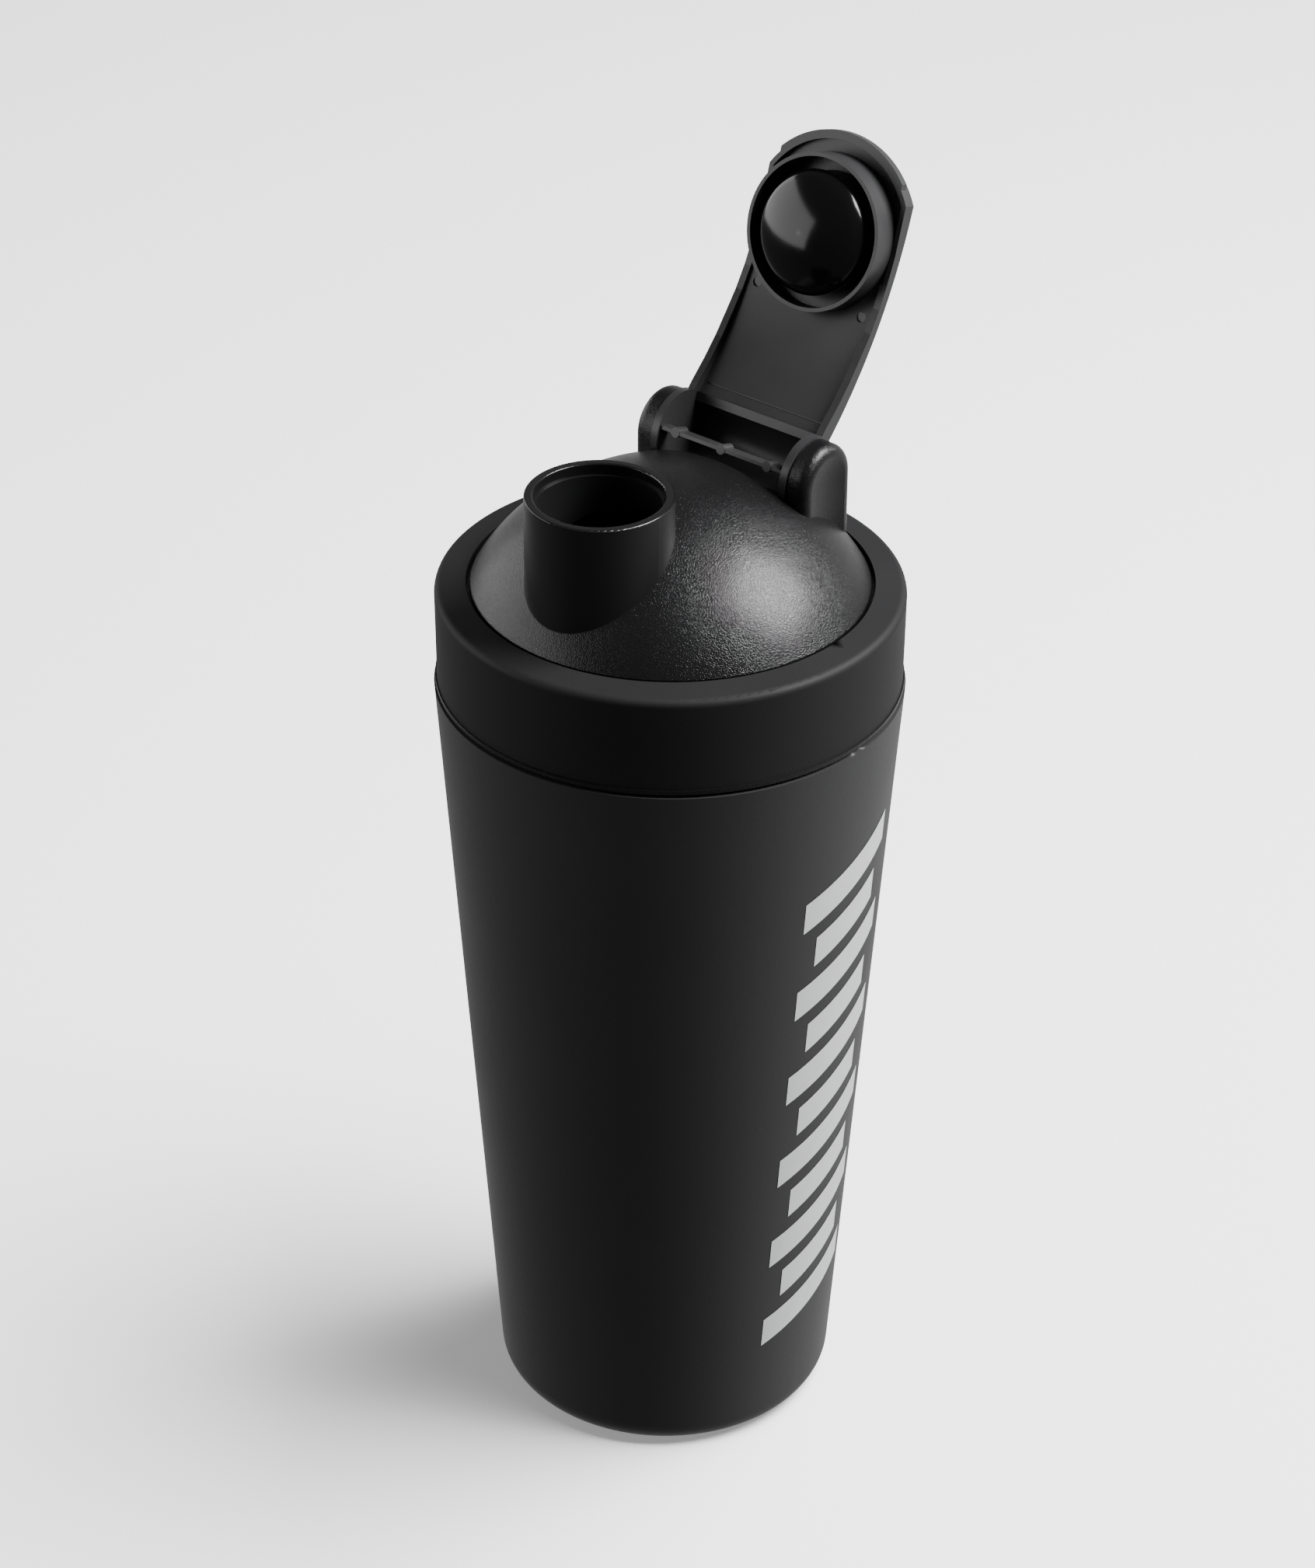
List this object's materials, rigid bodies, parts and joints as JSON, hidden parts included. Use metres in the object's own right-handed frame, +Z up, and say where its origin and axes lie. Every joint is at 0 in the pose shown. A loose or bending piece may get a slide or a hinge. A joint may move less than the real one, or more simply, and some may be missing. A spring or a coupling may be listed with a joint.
{
  "type": "protein shaker bottle",
  "caption": "Double-walled shaker bottle with tapered cup, threaded domed lid, off-centre drinking spout and hinged flip cap.",
  "frame": {"origin": "middle of the ring the cup stands on", "axes": "+Z up along the cup's axis, -Y towards the spout, +Y towards the hinge, +X to the right seen from the spout's side"},
  "size_m": [0.0907, 0.1007, 0.2589],
  "materials": {
    "cup_coating": "matt black powder coat on steel",
    "steel": "plain drawn stainless steel",
    "base_steel": "matt black powder coat on steel",
    "seal_button": "black resin button",
    "gasket": "black silicone",
    "lid_plastic": "fine spark-eroded texture, black polypropylene",
    "soft_sleeve": "soft-touch elastomer, matt",
    "grid_plastic": "moulded polypropylene",
    "cap_plastic": "satin moulded polypropylene",
    "plug": "polished elastomer"
  },
  "bodies": {
    "cup": {"outer_shell": "cup_coating", "inner_liner": "steel", "liner_base": "steel", "base_plate": "base_steel", "vacuum_seal": "seal_button"},
    "lid_carrier": {"lid_gasket": "gasket"},
    "lid": {"lid_body": "lid_plastic", "lid_sleeve": "soft_sleeve"},
    "grid": {"mixing_grid": "grid_plastic"},
    "cap": {"flip_cap": "cap_plastic", "spout_plug": "plug"}
  },
  "joints": [
    {"name": "lid_lift", "type": "slide", "parent": "cup", "child": "lid_carrier", "axis": [0, 0, 1], "range_m": [0, 0.0195]},
    {"name": "lid_turn", "type": "hinge", "parent": "lid_carrier", "child": "lid", "pos_m": [0, 0, 0.18], "axis": [0, 0, 1], "range_deg": [0, 1152]},
    {"name": "grid_pull", "type": "slide", "parent": "lid", "child": "grid", "axis": [0, 0, -1], "range_m": [0, 0.01]},
    {"name": "cap_hinge", "type": "hinge", "parent": "lid", "child": "cap", "pos_m": [0, 0.02166, 0.20372], "axis": [1, 0, 0], "range_deg": [0, 108]}
  ],
  "couplings": [
    {"joint": "lid_lift", "follows": "lid_turn", "m_per_rad": 0.00095493}
  ]
}
